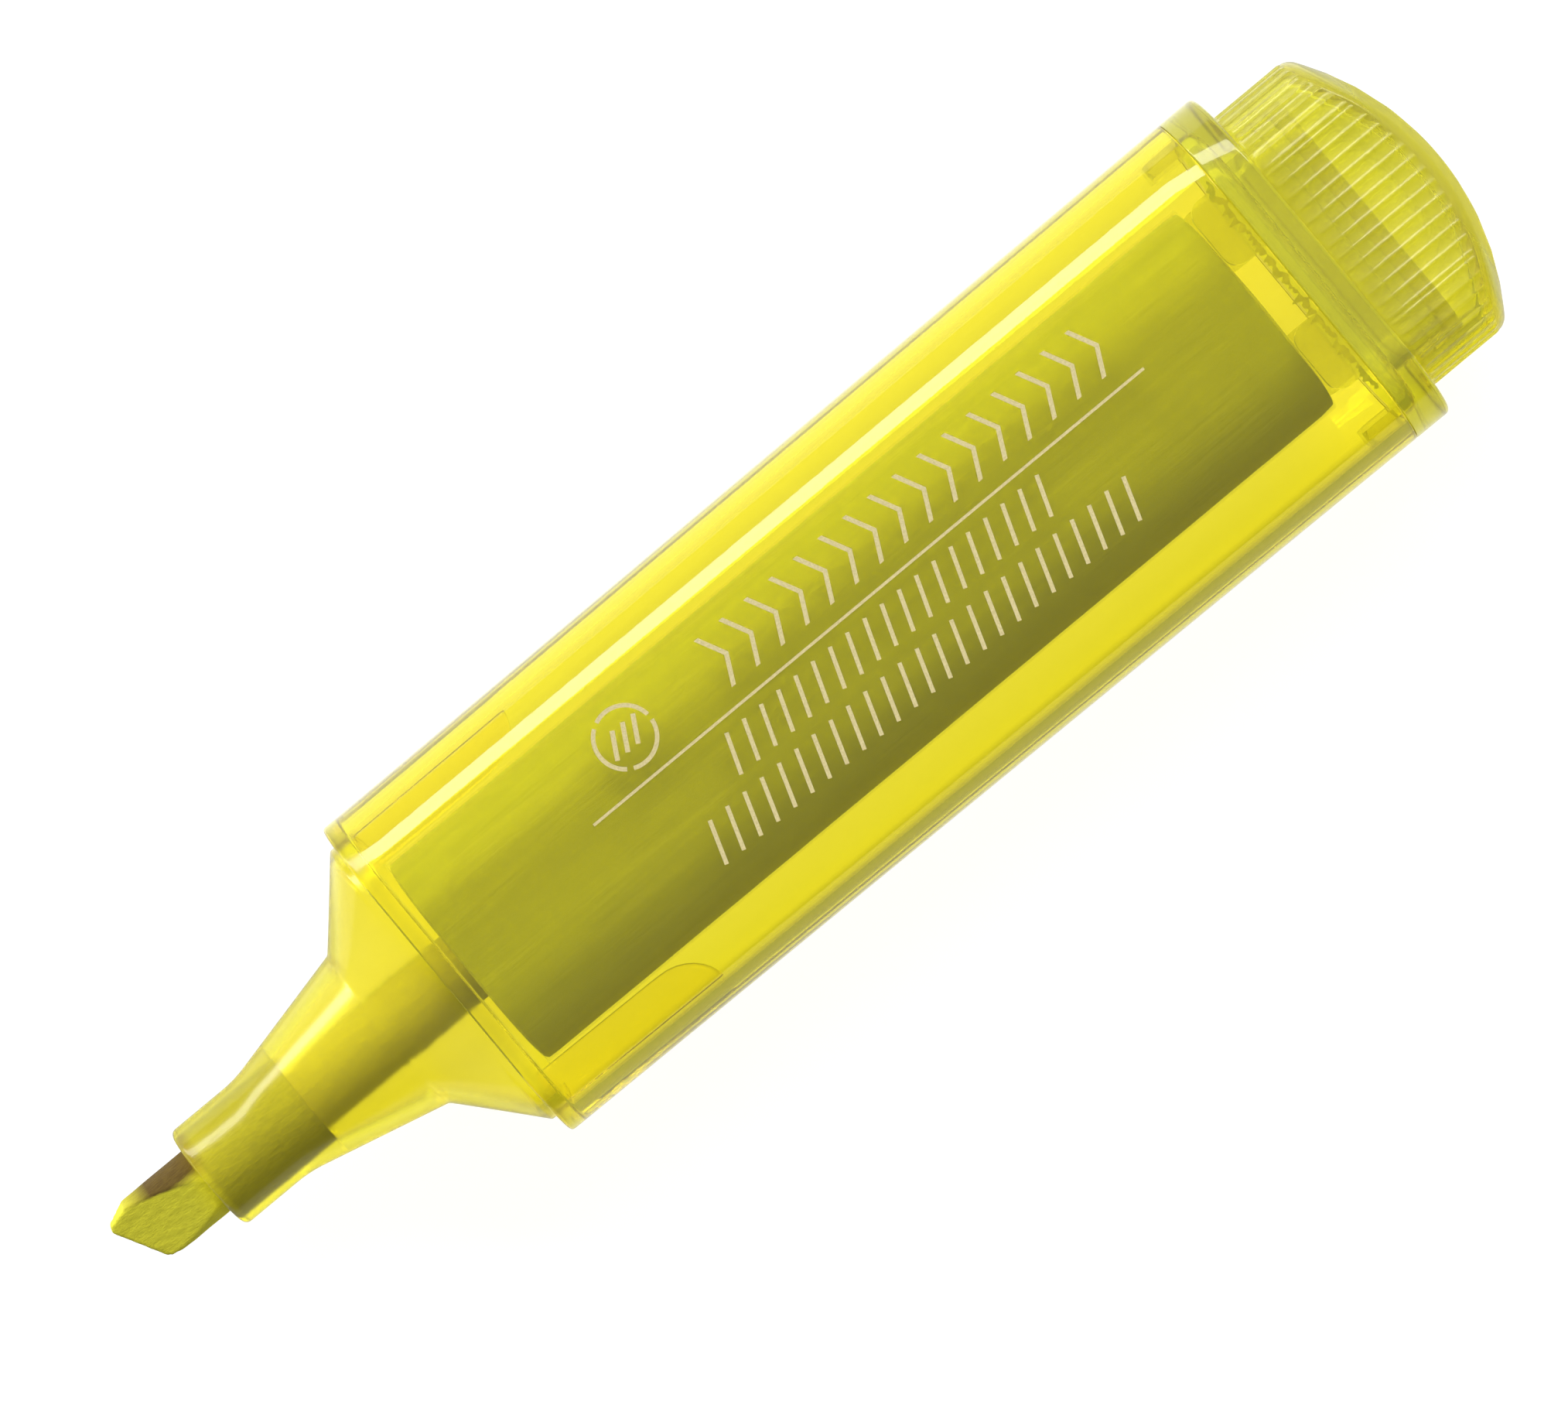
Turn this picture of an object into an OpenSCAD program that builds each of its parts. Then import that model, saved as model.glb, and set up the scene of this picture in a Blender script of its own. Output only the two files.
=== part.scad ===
// Highlighter with a clear flat-sided barrel, lying on one broad face.
// X runs along the pen from the nib to the tail, Y across its width and Z up through its thickness.

/* [Body] */
// Length of the barrel from its front rim to the seam of the rear closure
barrel_len = 74; // [60:0.5:90]
// Width of the body at the front rim
front_w = 26.5; // [24:0.1:32]
// Width of the body at the rear rim
rear_w = 27.5; // [25:0.1:33]
// Thickness of the body between its two broad faces
body_t = 17; // [16:0.1:22]
// Radius of the four long corners
corner_r = 6.5; // [4:0.1:7.5]
// Thickness of the barrel's long walls
wall = 1.25; // [0.9:0.05:1.5]
// Thickness of the barrel's front wall
front_wall = 1.1; // [0.8:0.1:2]
// Reach along the pen of the ribs that guide the reservoir
rib_len = 13.3; // [8:0.1:20]
// Length of each rib's sloped lead-in
rib_lead = 3.4; // [1:0.1:6]
// Thickness of each rib
rib_t = 1; // [0.6:0.1:1.6]

/* [Nose] */
// Step from the body down to the collar, where a cap's wall sits
collar_step = 1.45; // [1:0.05:2]
// Length of the straight collar
collar_len = 0.5; // [0.3:0.1:3]
// Length of the steep shoulder
shoulder_len = 4.8; // [3:0.1:8]
// Length of the slender cone
cone_len = 10.3; // [6:0.1:14]
// Diameter of the cone where it meets the shoulder
cone_d = 13; // [10.8:0.1:13.5]
// Length of the straight nib sleeve
sleeve_len = 5.65; // [4:0.05:9]
// Outer diameter of the nib sleeve
sleeve_d = 8.1; // [7.5:0.1:9]
// Length of the bore that grips the nib
grip_len = 8.8; // [6.5:0.1:11]
// Wall of the hollow cone and shoulder
nose_wall = 1.2; // [0.9:0.05:1.4]
// Width and depth of the air grooves along the nib's bore
groove = 0.5; // [0.3:0.05:0.6]
// Number of air grooves
grooves = 4; // [2:1:6]

/* [Nib] */
// Diameter of the nib
nib_d = 5.25; // [4.5:0.05:5.6]
// Length of nib that stands out of the sleeve
nib_out = 7.25; // [6:0.05:9]
// Depth to which the nib's rear end reaches into the reservoir
nib_bite = 5; // [3.5:0.1:8]
// Thickness of the chisel's writing edge
edge_t = 0.8; // [0.5:0.05:1.5]
// Angle of each ground facet to the nib's axis, in degrees
facet_angle = 16; // [14:0.5:20]
// Slant of the writing edge along the pen, from its leading to its trailing corner
edge_slant = 2; // [1:0.1:2.5]
// Radius of the writing edge's leading corner
lead_r = 0.45; // [0.3:0.05:0.6]
// Place of the leading corner across the nib, as a share of its radius
lead_share = 0.62; // [0.5:0.02:0.7]
// Place of the trailing corner across the nib, as a share of its radius
trail_share = 0.84; // [0.7:0.02:0.9]

/* [Reservoir] */
// Width of the wrapped reservoir
reservoir_w = 17.4; // [14:0.1:18.5]
// Radius of the reservoir's long corners
reservoir_r = 6.1; // [4:0.1:6.5]
// Thickness of the film wrapped round the fibre
wrap_t = 0.15; // [0.1:0.05:0.3]

/* [Rear closure] */
// Length of the closure's rim, flush with the body
rim_len = 2.9; // [2.4:0.1:5]
// Thickness of the wall across the rear end
end_wall = 1.3; // [1:0.1:1.8]
// Reach of the locating fingers into the barrel
finger_len = 2.7; // [1.5:0.1:6]
// Width of each finger
finger_w = 5.2; // [3:0.1:6]
// Thickness of each finger
finger_t = 1.2; // [0.8:0.1:1.6]
// Distance of the broad faces' fingers from the middle of the pen
finger_y = 5.4; // [4:0.1:6]
// Length of the boss that carries the knob
boss_len = 4.3; // [2.5:0.1:5]
// Wall of the boss
boss_wall = 1.2; // [0.8:0.1:1.6]
// Depth of the ring groove round the boss
ring_depth = 0.2; // [0.1:0.05:0.4]

/* [End knob] */
// Length of the knob from the rear rim to the top of its dome
knob_len = 10.6; // [9.5:0.1:14]
// Wall of the knob
knob_wall = 1.5; // [1:0.1:1.8]
// Radius of the domed end
dome_r = 19.5; // [17.5:0.5:30]
// Spacing of the fine grip ridges round the knob
ridge_pitch = 1.05; // [0.9:0.05:2]
// Width of each ridge
ridge_w = 0.3; // [0.2:0.05:0.5]
// Plain length of the knob between the rear rim and its ridges
ridge_gap = 0.4; // [0.2:0.1:1]

/* [Fits] */
// Radial clearance of the nib in its bore and in the reservoir
nib_fit = 0.06; // [0.02:0.01:0.1]
// Clearance of the fingers in the barrel and of the knob on its boss
push_fit = 0.1; // [0.05:0.01:0.2]
// Clearance of the reservoir from the ribs and the fingers
reservoir_fit = 0.15; // [0.1:0.05:0.3]
// Clearance of the reservoir from the barrel's broad walls
reservoir_play = 0.5; // [0.35:0.05:1]
// Gap between the front wall and the reservoir
front_gap = 0.6; // [0.2:0.1:2]
// Gap at faces that meet end to end
seam_gap = 0.02; // [0.01:0.01:0.05]

/* [Hidden] */
$fn = 72;

// Thickness of the plates that a hull stretches between, and how far a cut runs past a face
plate = 0.01;
over = 1;

// Places along the pen, measured from the barrel's front rim
collar_x = -collar_len;
shoulder_x = collar_x - shoulder_len;
cone_x = shoulder_x - cone_len;
sleeve_x = cone_x - sleeve_len;
grip_x = sleeve_x + grip_len;
tip_x = sleeve_x - nib_out;
rim_x = barrel_len + rim_len;
tail_x = rim_x + knob_len;
finger_x = barrel_len - finger_len;
reservoir_x = front_wall + front_gap;
reservoir_end = finger_x - reservoir_fit;
boss_end = rim_x + boss_len;
nib_end = reservoir_x + nib_bite;

// Sizes that follow from the ones above
collar_w = front_w - 2 * collar_step;
collar_t = body_t - 2 * collar_step;
collar_r = corner_r - collar_step;
ridge_r = ridge_w / 2;
reservoir_t = body_t - 2 * (wall + reservoir_play);
boss_inset = knob_wall + push_fit;
finger_inset = wall + push_fit;
nib_r = nib_d / 2;
bore_r = nib_r + nib_fit;
nib_point = 2;
mouth_edge = 0.35;
ridge_start = rim_x + ridge_gap;

function body_w(x) = front_w + (rear_w - front_w) * x / rim_x;
function cone_r(x) = sleeve_d / 2 + (cone_d - sleeve_d) / 2 * max(0, x - cone_x) / cone_len;

// Puts the pen's own axis at half its thickness and the middle of its length at the origin
module place() {
    translate([-(tip_x + tail_x) / 2, 0, body_t / 2]) children();
}

// Stands a flat outline drawn in width and thickness across the pen at x, len long
module across(x, len) {
    translate([x, 0, 0]) rotate([90, 0, 90]) linear_extrude(len) children();
}

module rounded(w, t, r) {
    square([w - 2 * r, t], center = true);
    square([w, t - 2 * r], center = true);
    for (y = [-1, 1], z = [-1, 1]) translate([y * (w / 2 - r), z * (t / 2 - r)]) circle(r);
}

// Tapered length of the body between x0 and x1, drawn in by inset all round
module body_run(x0, x1, inset) {
    hull() for (x = [x0, x1 - plate])
        across(x, plate) rounded(body_w(x) - 2 * inset, body_t - 2 * inset, corner_r - inset);
}

// Straight collar-sized length between x0 and x1, drawn in by inset all round
module collar_run(x0, x1, inset) {
    across(x0, x1 - x0) rounded(collar_w - 2 * inset, collar_t - 2 * inset, collar_r - inset);
}

// Round length between x0 and x1, from radius r0 to r1
module round_run(x0, x1, r0, r1) {
    translate([x0, 0, 0]) rotate([0, 90, 0]) cylinder(h = x1 - x0, r1 = r0, r2 = r1);
}

// Shoulder between the round cone and the flat-sided collar, drawn in by inset
module shoulder(inset) {
    hull() {
        round_run(shoulder_x, shoulder_x + plate, cone_d / 2 - inset, cone_d / 2 - inset);
        collar_run(collar_x - plate, collar_x, inset);
    }
}

module guide_rib() {
    foot = body_w(0) / 2 - wall / 2;
    top = reservoir_w / 2 + reservoir_fit;
    end = front_wall + rib_len;
    linear_extrude(rib_t, center = true) polygon([
        [front_wall / 2, foot],
        [front_wall / 2, top],
        [end - rib_lead, top + reservoir_fit],
        [end, body_w(end) / 2 - wall],
        [end, body_w(end) / 2 - wall / 2],
    ]);
}

module barrel_outside() {
    body_run(0, barrel_len, 0);
    collar_run(collar_x, over, 0);
    shoulder(0);
    round_run(cone_x, shoulder_x + plate, sleeve_d / 2, cone_d / 2);
    round_run(sleeve_x + mouth_edge, cone_x, sleeve_d / 2, sleeve_d / 2);
    round_run(sleeve_x, sleeve_x + mouth_edge, sleeve_d / 2 - mouth_edge, sleeve_d / 2);
}

module barrel_inside() {
    body_run(front_wall, barrel_len + over, wall);
    collar_run(collar_x - plate, front_wall + over, nose_wall);
    shoulder(nose_wall);
    round_run(grip_x, shoulder_x + plate, cone_r(grip_x) - nose_wall, cone_d / 2 - nose_wall);
    round_run(sleeve_x - over, grip_x + over, bore_r, bore_r);
    for (i = [0 : grooves - 1]) rotate([(i + 0.5) * 360 / grooves, 0, 0])
        translate([sleeve_x + over, -groove / 2, 0]) cube([grip_len, groove, bore_r + groove]);
}

module barrel() {
    color("#ece32f", 0.55) place() {
        difference() {
            barrel_outside();
            barrel_inside();
        }
        for (side = [0, 1]) mirror([0, side, 0]) guide_rib();
    }
}

// Strip of the closure's inner wall that reaches into the barrel as one finger
module finger_zone() {
    span = body_w(barrel_len);
    for (y = [-1, 1]) translate([finger_x, y * finger_y - finger_w / 2, -body_t / 2])
        cube([finger_len + rim_len - end_wall, finger_w, body_t]);
    translate([finger_x, -span / 2, -finger_w / 2])
        cube([finger_len + rim_len - end_wall, span, finger_w]);
}

module rear_closure() {
    seam_x = barrel_len + seam_gap;
    inner_x = rim_x - end_wall;
    color("#d3cf34", 0.6) place() difference() {
        union() {
            body_run(seam_x, rim_x, 0);
            collar_run(rim_x - plate, boss_end, boss_inset);
            intersection() {
                body_run(finger_x, inner_x, finger_inset);
                finger_zone();
            }
        }
        body_run(finger_x - over, inner_x, finger_inset + finger_t);
        collar_run(inner_x - plate, boss_end - boss_wall, boss_inset + boss_wall);
        difference() {
            collar_run(rim_x + boss_len / 3, rim_x + boss_len / 3 + 2 * ring_depth, boss_inset - over);
            collar_run(rim_x, boss_end, boss_inset + ring_depth);
        }
    }
}

// Fine ridges at an even pitch along the knob's flats and round its corners
module ridge_row() {
    flat_w = collar_w - 2 * collar_r;
    flat_t = collar_t - 2 * collar_r;
    wide = floor(flat_w / 2 / ridge_pitch);
    narrow = floor(flat_t / 2 / ridge_pitch);
    turns = round(collar_r * PI / 2 / ridge_pitch);
    for (side = [-1, 1]) {
        for (i = [-wide : wide])
            translate([i * ridge_pitch, side * (collar_t / 2 - ridge_r)]) circle(ridge_r);
        for (i = [-narrow : narrow])
            translate([side * (collar_w / 2 - ridge_r), i * ridge_pitch]) circle(ridge_r);
        for (end = [-1, 1], i = [0 : turns])
            translate([side * flat_w / 2, end * flat_t / 2])
                rotate(atan2(end, side) + (i / turns - 0.5) * 90)
                    translate([collar_r - ridge_r, 0]) circle(ridge_r);
    }
}

module dome(inset) {
    translate([tail_x - dome_r, 0, 0]) sphere(dome_r - inset, $fn = 144);
}

module end_knob() {
    knob_x = rim_x + seam_gap;
    color("#cdca35", 0.6) place() difference() {
        intersection() {
            union() {
                collar_run(knob_x, tail_x, ridge_r);
                across(ridge_start, tail_x - ridge_start) ridge_row();
            }
            dome(0);
        }
        intersection() {
            collar_run(knob_x - over, tail_x, knob_wall);
            dome(knob_wall);
        }
    }
}

// The ground end seen from above: a slanted writing edge with a rounded leading corner
module nib_outline() {
    hull() {
        translate([tip_x + lead_r, nib_r * lead_share]) circle(lead_r, $fn = 32);
        translate([tip_x + edge_slant, -nib_r * trail_share]) circle(plate, $fn = 16);
        translate([tip_x + edge_slant, nib_r]) circle(plate, $fn = 16);
        translate([sleeve_x, -nib_r - plate]) square([nib_end - sleeve_x, nib_d + 2 * plate]);
    }
}

// The ground end seen from the side: two facets that meet in the writing edge
module nib_wedge() {
    facet_end = tip_x + (nib_r - edge_t / 2) / tan(facet_angle);
    polygon([
        [tip_x, -edge_t / 2],
        [facet_end, -nib_r],
        [nib_end, -nib_r],
        [nib_end, nib_r],
        [facet_end, nib_r],
        [tip_x, edge_t / 2],
    ]);
}

module nib() {
    color("#bfc42b") place() intersection() {
        union() {
            round_run(tip_x, nib_end - nib_point, nib_r, nib_r);
            round_run(nib_end - nib_point, nib_end, nib_r, nib_r / 2);
        }
        translate([0, 0, -nib_d]) linear_extrude(2 * nib_d) nib_outline();
        rotate([90, 0, 0]) linear_extrude(2 * nib_d, center = true) nib_wedge();
    }
}

// Length of the reservoir's outline, drawn in by inset all round
module reservoir_run(x0, x1, inset) {
    across(x0, x1 - x0)
        rounded(reservoir_w - 2 * inset, reservoir_t - 2 * inset, reservoir_r - inset);
}

module reservoir_core() {
    color("#8f9130") place() difference() {
        reservoir_run(reservoir_x, reservoir_end, wrap_t + seam_gap);
        round_run(reservoir_x - over, nib_end - nib_point, bore_r, bore_r);
        round_run(nib_end - nib_point, nib_end + nib_fit, bore_r, nib_r / 2 + nib_fit);
    }
}

module reservoir_wrap() {
    color("#b5b53a", 0.6) place() difference() {
        reservoir_run(reservoir_x, reservoir_end, 0);
        reservoir_run(reservoir_x - over, reservoir_end + over, wrap_t);
    }
}

barrel();
rear_closure();
end_knob();
nib();
reservoir_core();
reservoir_wrap();
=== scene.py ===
"""Looks of a clear highlighter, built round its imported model.
Lengths are millimetres until a mesh is made."""

import math

import bmesh
import bpy
import numpy as np
from mathutils import Matrix, Vector, noise


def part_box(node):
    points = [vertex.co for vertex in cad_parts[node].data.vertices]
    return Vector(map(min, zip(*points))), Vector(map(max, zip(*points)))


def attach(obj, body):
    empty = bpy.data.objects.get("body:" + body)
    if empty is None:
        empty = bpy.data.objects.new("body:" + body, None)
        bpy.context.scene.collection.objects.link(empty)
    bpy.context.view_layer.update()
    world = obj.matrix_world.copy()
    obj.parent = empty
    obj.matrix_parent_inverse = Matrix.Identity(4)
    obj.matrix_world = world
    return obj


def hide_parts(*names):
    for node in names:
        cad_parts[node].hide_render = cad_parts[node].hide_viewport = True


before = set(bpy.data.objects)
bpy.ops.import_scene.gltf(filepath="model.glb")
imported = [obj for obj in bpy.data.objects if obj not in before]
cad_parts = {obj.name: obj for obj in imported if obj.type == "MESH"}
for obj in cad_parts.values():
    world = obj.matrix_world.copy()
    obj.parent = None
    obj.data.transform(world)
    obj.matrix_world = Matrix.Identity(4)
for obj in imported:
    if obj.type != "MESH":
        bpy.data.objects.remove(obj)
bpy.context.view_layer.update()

MM = 0.001


def corners(node):
    """Lowest and highest corner of a CAD node, in millimetres."""
    return [[c / MM for c in corner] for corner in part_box(node)]


barrel_lo, barrel_hi = corners("barrel")
closure_lo, closure_hi = corners("rear_closure")
knob_lo, knob_hi = corners("end_knob")
nib_lo, nib_hi = corners("nib")
core_lo, core_hi = corners("reservoir_core")
wrap_lo, wrap_hi = corners("reservoir_wrap")

# Body, as in the CAD source
BODY_T = barrel_hi[2] - barrel_lo[2]
MID_Z = BODY_T / 2
FRONT_W = 26.5
REAR_W = closure_hi[1] - closure_lo[1]
CORNER_R = 6.5
WALL = 1.25
FRONT_WALL = 1.1
BARREL_LEN = 74
RIM_LEN = 2.9
SEAM_X = barrel_hi[0]
FRONT_X = SEAM_X - BARREL_LEN
RIM_X = SEAM_X + RIM_LEN

# Nose, from the collar in front of the body to the mouth of the nib sleeve
COLLAR_STEP = 1.45
COLLAR_LEN = 0.5
COLLAR_W = FRONT_W - 2 * COLLAR_STEP
COLLAR_T = BODY_T - 2 * COLLAR_STEP
COLLAR_R = CORNER_R - COLLAR_STEP
COLLAR_X = FRONT_X - COLLAR_LEN
SHOULDER_LEN = 4.8
SHOULDER_X = COLLAR_X - SHOULDER_LEN
CONE_LEN = 10.3
CONE_X = SHOULDER_X - CONE_LEN
CONE_R = 6.5
SLEEVE_X = barrel_lo[0]
SLEEVE_R = 4.05
GRIP_LEN = 8.8
GRIP_X = SLEEVE_X + GRIP_LEN
NOSE_WALL = 1.2

# Nib. The sleeve's bore lies a little inside it, so that the rod shows as if ink wets the two together
NIB_R = (nib_hi[1] - nib_lo[1]) / 2
WETTING = 0.08
BORE_R = NIB_R - WETTING
NIB_TURN = 18
NIB_POINT = 2
LEAD_R = 0.45
LEAD_SHARE = 0.62
EDGE_HALF = 0.4
FACET_ANGLE = 16
NIB_VOXEL = 0.13

# Guide ribs
RIB_LEN = 13.3
RIB_T = 1.0
RIB_END = FRONT_X + FRONT_WALL + RIB_LEN
RIB_LEAD = 3.4
RIB_PLAY = 0.15
RIB_TOP = wrap_hi[1] + RIB_PLAY
RIB_ROUND = 0.35

# Rear closure
FINGER_PLAY = 0.1
FINGER_INSET = WALL + FINGER_PLAY
FINGER_T = 1.2
FINGER_X = closure_lo[0]
FINGER_W = 5.2
FINGER_Y = 5.4
FINGER_R = 1.1
END_WALL = 1.3
BOSS_INSET = 1.6
BOSS_WALL = 1.2
BOSS_X = closure_hi[0]
BOSS_EDGE = 0.4
RIM_EDGE = 0.35
SKIRT_EDGE = 0.7
GROOVE_W = 0.4
GROOVE_DEPTH = 0.2
GROOVE_SLOPE = 0.1
SEAM_GAP = 0.02

# How far the fingers reach into the end wall that they join
SINK = 0.2

# End knob
KNOB_X = knob_lo[0]
TAIL_X = knob_hi[0]
KNOB_WALL = 1.5
DOME_R = 19.5
RIDGE_PITCH = 1.05
RIDGE_R = 0.15
RIDGE_H = 0.5
KNOB_EDGE = 0.5
KNOB_INNER_EDGE = 0.4

# Reservoir
CORE_R = 5.9
CORE_WOBBLE = 0.04
CORE_BULGE = 0.55
POCKET_PLAY = 0.06
WRAP_R = 6.1
WRAP_T = 0.15

# Ink that has crept along the seam, from one place across the pen to another
SMEAR_Y = (-9.3, 8.6)

# Fillets of the barrel's edges
FINE_EDGE = 0.12
MOUTH_EDGE = 0.45
CONE_SWEEP = 9.0
SHOULDER_EDGE = 0.5
COLLAR_EDGE = 0.25
FRONT_EDGE = 0.26
INNER_EDGE = 0.3
INNER_SWEEP = 3.0

# Points round an outline: on each corner and along each flat
ARC = 17
FLAT = 9

# Longest stretch between two outlines of the barrel
RING_GAP = 2.5

# Sharpest corner, in degrees, that is shaded smooth
SMOOTH = 35


# ---------------------------------------------------------------- outlines

def rounded(w, t, r):
    """Outline of a rounded rectangle as (y, z) points from the middle, always with the same count."""
    y, z = w / 2 - r, t / 2 - r
    middles = [(y, z), (-y, z), (-y, -z), (y, -z)]
    points = []
    for k, (cy, cz) in enumerate(middles):
        for i in range(ARC):
            a = math.pi / 2 * (k + i / (ARC - 1))
            points.append((cy + r * math.cos(a), cz + r * math.sin(a)))
        a, b = points[-1], middles[(k + 1) % 4]
        turn = math.pi / 2 * (k + 1)
        b = (b[0] + r * math.cos(turn), b[1] + r * math.sin(turn))
        for i in range(1, FLAT):
            f = i / FLAT
            points.append((a[0] + (b[0] - a[0]) * f, a[1] + (b[1] - a[1]) * f))
    return np.array(points)


def collar(inset=0.0):
    return rounded(COLLAR_W - 2 * inset, COLLAR_T - 2 * inset, COLLAR_R - inset)


TURNS = np.arctan2(collar()[:, 1], collar()[:, 0])


def circle(r):
    return np.column_stack((np.cos(TURNS), np.sin(TURNS))) * r


def half_w(x):
    """Half the body's width at x, which widens a little towards the rear."""
    f = min(max((x - FRONT_X) / (RIM_X - FRONT_X), 0), 1)
    return (FRONT_W + (REAR_W - FRONT_W) * f) / 2


def body(x, inset=0.0):
    return rounded(2 * (half_w(x) - inset), BODY_T - 2 * inset, CORNER_R - inset)


def nose(x, h, wall):
    """Outline whose half width is h: a circle up to the cone's size, then a blend into the body's shape."""
    small, large = CONE_R - wall, COLLAR_W / 2 - wall
    if h <= small:
        return circle(h)
    if h >= large:
        return body(x, half_w(x) - h)
    f = (h - small) / (large - small)
    return circle(small) * (1 - f) + collar(wall) * f


# ---------------------------------------------------------------- paths and skins

def filleted(corners_, steps=5):
    """Path through (x, h, radius) corners, with an arc of that radius at each corner that has one."""
    path = []
    for i, (x, h, r) in enumerate(corners_):
        p = Vector((x, h))
        if not r:
            path.append(p)
            continue
        u = (Vector(corners_[i - 1][:2]) - p).normalized()
        v = (Vector(corners_[(i + 1) % len(corners_)][:2]) - p).normalized()
        half = u.angle(v) / 2
        middle = p + (u + v).normalized() * (r / math.sin(half))
        first, last = p + u * (r / math.tan(half)), p + v * (r / math.tan(half))
        a, b = first - middle, last - middle
        for k in range(steps + 1):
            f = k / steps
            arm = a * math.sin((1 - f) * a.angle(b)) + b * math.sin(f * a.angle(b))
            path.append(middle + arm.normalized() * r)
    return path


def split(path, longest):
    """The same path with its long stretches divided."""
    out = [path[0]]
    for p in path[1:]:
        q = out[-1]
        n = max(1, math.ceil((p - q).length / longest))
        out += [q.lerp(p, k / n) for k in range(1, n + 1)]
    return out


def skin(name, rings, loop=False, smooth=SMOOTH):
    """Mesh through rings of (x, outline), x being one value or one a point.
    In a loop the last ring joins the first. Otherwise each end is closed."""
    n = len(rings[0][1])
    rings = [(np.broadcast_to(x, n), outline) for x, outline in rings]
    verts = [(x, y, z + MID_Z) for xs, outline in rings for x, (y, z) in zip(xs, outline)]
    faces = []
    for k in range(len(rings) if loop else len(rings) - 1):
        a, b = k * n, (k + 1) % len(rings) * n
        faces += [(a + i, a + (i + 1) % n, b + (i + 1) % n, b + i) for i in range(n)]
    if not loop:
        for k, turn in ((0, 1), (len(rings) - 1, -1)):
            xs, outline = rings[k]
            verts.append((float(np.mean(xs)), *(np.mean(outline, 0) + (0, MID_Z))))
            last = len(verts) - 1
            faces += [(last, k * n + (i + 1) % n, k * n + i)[::turn] for i in range(n)]
    return piece(name, verts, faces, smooth)


def piece(name, verts, faces, smooth=SMOOTH):
    """Object from points in millimetres, shaded smooth except at corners sharper than smooth degrees."""
    mesh = bpy.data.meshes.new(name)
    mesh.from_pydata([Vector(v) * MM for v in verts], [], faces)
    bm = bmesh.new()
    bm.from_mesh(mesh)
    bmesh.ops.remove_doubles(bm, verts=bm.verts, dist=1e-6)
    bmesh.ops.recalc_face_normals(bm, faces=bm.faces)
    bm.to_mesh(mesh)
    bm.free()
    shade(mesh, smooth)
    obj = bpy.data.objects.new(name, mesh)
    bpy.context.collection.objects.link(obj)
    return obj


def shade(mesh, degrees):
    """Shades a mesh smooth, except at corners sharper than degrees."""
    mesh.shade_smooth()
    mesh.set_sharp_from_angle(angle=math.radians(degrees))


def prism(name, outline, z0, z1):
    """Upright solid over an outline of (x, y) points."""
    n = len(outline)
    verts = [(x, y, z) for z in (z0, z1) for x, y in outline]
    sides = [(i, (i + 1) % n, n + (i + 1) % n, n + i) for i in range(n)]
    return piece(name, verts, [tuple(range(n))[::-1], tuple(range(n, 2 * n)), *sides])


def combine(obj, other, how):
    """Joins other to obj, cuts it away or keeps what they share, and removes other."""
    step = obj.modifiers.new(how, "BOOLEAN")
    step.operation, step.object, step.solver = how, other, "EXACT"
    apply(obj)
    bpy.data.objects.remove(other)
    shade(obj.data, SMOOTH)


def turned(mesh, degrees):
    """Turns a mesh about the pen's own axis."""
    axis = Matrix.Translation((0, 0, MID_Z * MM))
    mesh.transform(axis @ Matrix.Rotation(math.radians(degrees), 4, "X") @ axis.inverted())


def apply(obj):
    """Puts the result of an object's modifiers into its mesh."""
    seen = obj.evaluated_get(bpy.context.evaluated_depsgraph_get())
    made = bpy.data.meshes.new_from_object(seen)
    obj.modifiers.clear()
    obj.data = made


# ---------------------------------------------------------------- materials

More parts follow.
